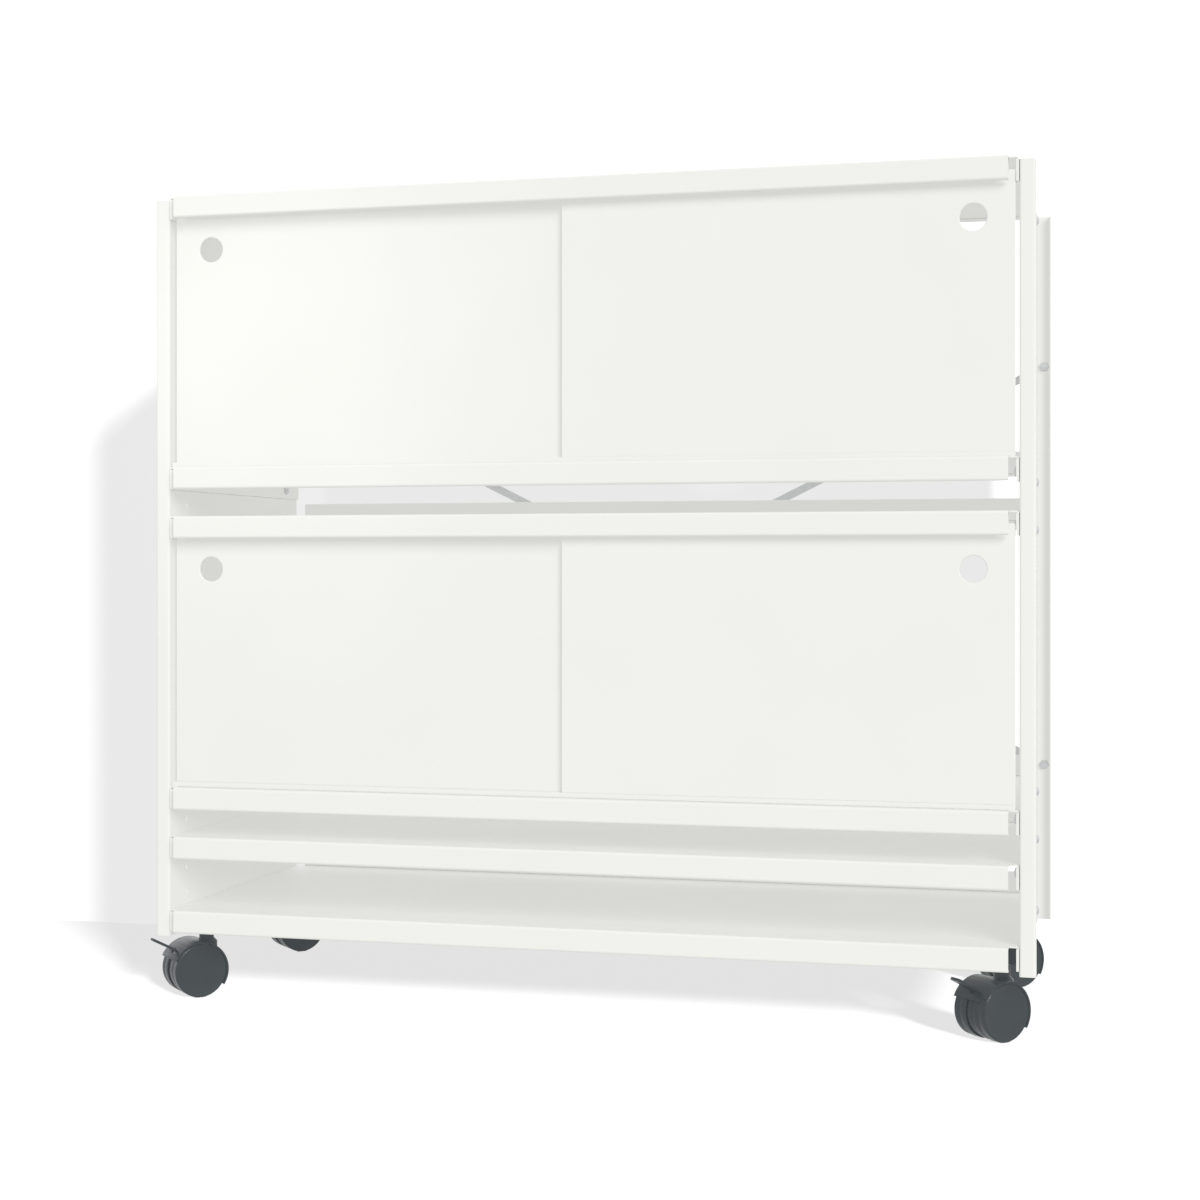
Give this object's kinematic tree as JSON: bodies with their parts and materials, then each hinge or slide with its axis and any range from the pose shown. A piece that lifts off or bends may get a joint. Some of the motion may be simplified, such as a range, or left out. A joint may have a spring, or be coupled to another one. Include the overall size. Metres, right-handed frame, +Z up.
{
  "type": "low sideboard on casters",
  "caption": "Low steel sideboard on swivel casters: perforated gables, lipped trays, bays closed by sliding doors, open paper slots and a crossed tie at the open back.",
  "frame": {"origin": "on the floor, midway between the gables and midway along their depth", "axes": "+X to the right seen from the front, +Y to the back, +Z up; the doors face -Y"},
  "size_m": [1.0702, 0.4207, 1.009],
  "materials": {
    "powder_coat": "warm white powder coat, fine satin grain",
    "zinc_plate": "bright zinc plate",
    "caster_plastic": "dark grey moulded plastic",
    "nylon": "natural nylon"
  },
  "bodies": {
    "cabinet": {"gable_left": "powder_coat", "gable_right": "powder_coat", "tray_bottom": "powder_coat", "tray_low": "powder_coat", "tray_lower_bay_floor": "powder_coat", "tray_lower_bay_roof": "powder_coat", "tray_upper_bay_floor": "powder_coat", "tray_top": "powder_coat", "top_track_lower": "powder_coat", "top_track_upper": "powder_coat", "bottom_track_lower": "powder_coat", "bottom_track_upper": "powder_coat", "brace_bar_front": "zinc_plate", "brace_bar_rear": "zinc_plate", "brace_spacers": "zinc_plate", "brace_bolts": "zinc_plate", "brace_nuts": "zinc_plate", "brace_rivet": "zinc_plate", "tray_bolts_left": "zinc_plate", "tray_bolts_right": "zinc_plate", "tray_nuts_left": "zinc_plate", "tray_nuts_right": "zinc_plate", "socket_front_left": "caster_plastic", "socket_front_right": "caster_plastic", "socket_rear_left": "caster_plastic", "socket_rear_right": "caster_plastic", "stem_front_left": "zinc_plate", "stem_front_right": "zinc_plate", "stem_rear_left": "zinc_plate", "stem_rear_right": "zinc_plate"},
    "door_lower_left": {"door_lower_left": "powder_coat", "glides_lower_left": "nylon"},
    "door_lower_right": {"door_lower_right": "powder_coat", "glides_lower_right": "nylon"},
    "door_upper_left": {"door_upper_left": "powder_coat", "glides_upper_left": "nylon"},
    "door_upper_right": {"door_upper_right": "powder_coat", "glides_upper_right": "nylon"},
    "caster_front_left": {"hood_front_left": "caster_plastic", "axle_front_left": "zinc_plate", "brake_pin_front_left": "zinc_plate"},
    "wheel_a_front_left": {"wheel_a_front_left": "caster_plastic"},
    "wheel_b_front_left": {"wheel_b_front_left": "caster_plastic"},
    "caster_front_right": {"hood_front_right": "caster_plastic", "axle_front_right": "zinc_plate", "brake_pin_front_right": "zinc_plate"},
    "wheel_a_front_right": {"wheel_a_front_right": "caster_plastic"},
    "wheel_b_front_right": {"wheel_b_front_right": "caster_plastic"},
    "caster_rear_left": {"hood_rear_left": "caster_plastic", "axle_rear_left": "zinc_plate"},
    "wheel_a_rear_left": {"wheel_a_rear_left": "caster_plastic"},
    "wheel_b_rear_left": {"wheel_b_rear_left": "caster_plastic"},
    "caster_rear_right": {"hood_rear_right": "caster_plastic", "axle_rear_right": "zinc_plate"},
    "wheel_a_rear_right": {"wheel_a_rear_right": "caster_plastic"},
    "wheel_b_rear_right": {"wheel_b_rear_right": "caster_plastic"},
    "brake_front_left": {"brake_lever_front_left": "caster_plastic"},
    "brake_front_right": {"brake_lever_front_right": "caster_plastic"}
  },
  "joints": [
    {"name": "door_lower_left_slide", "type": "slide", "parent": "cabinet", "child": "door_lower_left", "axis": [1, 0, 0], "range_m": [0, 0.493]},
    {"name": "door_lower_right_slide", "type": "slide", "parent": "cabinet", "child": "door_lower_right", "axis": [-1, 0, 0], "range_m": [0, 0.493]},
    {"name": "door_upper_left_slide", "type": "slide", "parent": "cabinet", "child": "door_upper_left", "axis": [1, 0, 0], "range_m": [0, 0.493]},
    {"name": "door_upper_right_slide", "type": "slide", "parent": "cabinet", "child": "door_upper_right", "axis": [-1, 0, 0], "range_m": [0, 0.493]},
    {"name": "swivel_front_left", "type": "hinge", "parent": "cabinet", "child": "caster_front_left", "pos_m": [-0.488, -0.141, 0.06], "axis": [0, 0, 1], "continuous": true},
    {"name": "roll_a_front_left", "type": "hinge", "parent": "caster_front_left", "child": "wheel_a_front_left", "pos_m": [-0.49931, -0.15231, 0.0325], "axis": [0.7071, -0.7071, 0], "continuous": true},
    {"name": "roll_b_front_left", "type": "hinge", "parent": "caster_front_left", "child": "wheel_b_front_left", "pos_m": [-0.49931, -0.15231, 0.0325], "axis": [0.7071, -0.7071, 0], "continuous": true},
    {"name": "brake_front_left_press", "type": "hinge", "parent": "caster_front_left", "child": "brake_front_left", "pos_m": [-0.50998, -0.16298, 0.05181], "axis": [0.7071, -0.7071, 0], "range_deg": [0, 12]},
    {"name": "swivel_front_right", "type": "hinge", "parent": "cabinet", "child": "caster_front_right", "pos_m": [0.488, -0.141, 0.06], "axis": [0, 0, 1], "continuous": true},
    {"name": "roll_a_front_right", "type": "hinge", "parent": "caster_front_right", "child": "wheel_a_front_right", "pos_m": [0.47669, -0.15231, 0.0325], "axis": [0.7071, -0.7071, 0], "continuous": true},
    {"name": "roll_b_front_right", "type": "hinge", "parent": "caster_front_right", "child": "wheel_b_front_right", "pos_m": [0.47669, -0.15231, 0.0325], "axis": [0.7071, -0.7071, 0], "continuous": true},
    {"name": "brake_front_right_press", "type": "hinge", "parent": "caster_front_right", "child": "brake_front_right", "pos_m": [0.46602, -0.16298, 0.05181], "axis": [0.7071, -0.7071, 0], "range_deg": [0, 12]},
    {"name": "swivel_rear_left", "type": "hinge", "parent": "cabinet", "child": "caster_rear_left", "pos_m": [-0.488, 0.178, 0.06], "axis": [0, 0, 1], "continuous": true},
    {"name": "roll_a_rear_left", "type": "hinge", "parent": "caster_rear_left", "child": "wheel_a_rear_left", "pos_m": [-0.49931, 0.16669, 0.0325], "axis": [0.7071, -0.7071, 0], "continuous": true},
    {"name": "roll_b_rear_left", "type": "hinge", "parent": "caster_rear_left", "child": "wheel_b_rear_left", "pos_m": [-0.49931, 0.16669, 0.0325], "axis": [0.7071, -0.7071, 0], "continuous": true},
    {"name": "swivel_rear_right", "type": "hinge", "parent": "cabinet", "child": "caster_rear_right", "pos_m": [0.488, 0.178, 0.06], "axis": [0, 0, 1], "continuous": true},
    {"name": "roll_a_rear_right", "type": "hinge", "parent": "caster_rear_right", "child": "wheel_a_rear_right", "pos_m": [0.47669, 0.16669, 0.0325], "axis": [0.7071, -0.7071, 0], "continuous": true},
    {"name": "roll_b_rear_right", "type": "hinge", "parent": "caster_rear_right", "child": "wheel_b_rear_right", "pos_m": [0.47669, 0.16669, 0.0325], "axis": [0.7071, -0.7071, 0], "continuous": true}
  ]
}
